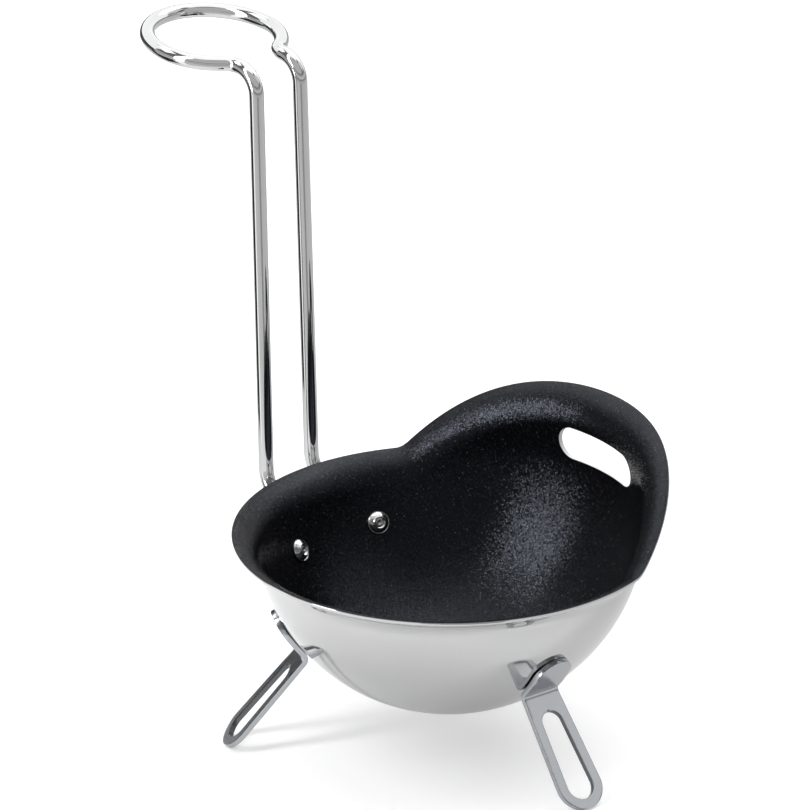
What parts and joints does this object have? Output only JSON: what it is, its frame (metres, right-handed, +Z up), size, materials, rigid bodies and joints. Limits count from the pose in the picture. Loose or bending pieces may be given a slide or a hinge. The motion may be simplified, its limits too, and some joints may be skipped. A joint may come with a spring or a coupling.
{
  "type": "egg poacher pan",
  "caption": "Polished cup with a dark non-stick lining and a raised slotted shield, on strip legs, with an upright bent wire handle that ends in a finger ring.",
  "frame": {"origin": "on the cup's axis, in the plane that the feet stand on", "axes": "+Z up along the cup's axis, +X level towards the middle of the raised shield, +Y level, near the handle"},
  "size_m": [0.0998, 0.1532, 0.1515],
  "materials": {
    "polished_steel": "mirror-polished stainless sheet",
    "nonstick_coating": "semi-matt charcoal coating with fine pale specks",
    "chrome_wire": "bright polished wire",
    "rivet_steel": "bright domed rivet",
    "pin_steel": "plain pulled pin",
    "leg_steel": "satin blanked strip"
  },
  "bodies": {
    "root": {"bowl": "polished_steel", "nonstick_lining": "nonstick_coating", "wire_handle": "chrome_wire", "rivet_left": "rivet_steel", "rivet_right": "rivet_steel", "rivet_pin_left": "pin_steel", "rivet_pin_right": "pin_steel", "leg_front": "leg_steel", "leg_left": "leg_steel", "leg_right": "leg_steel"}
  },
  "joints": []
}
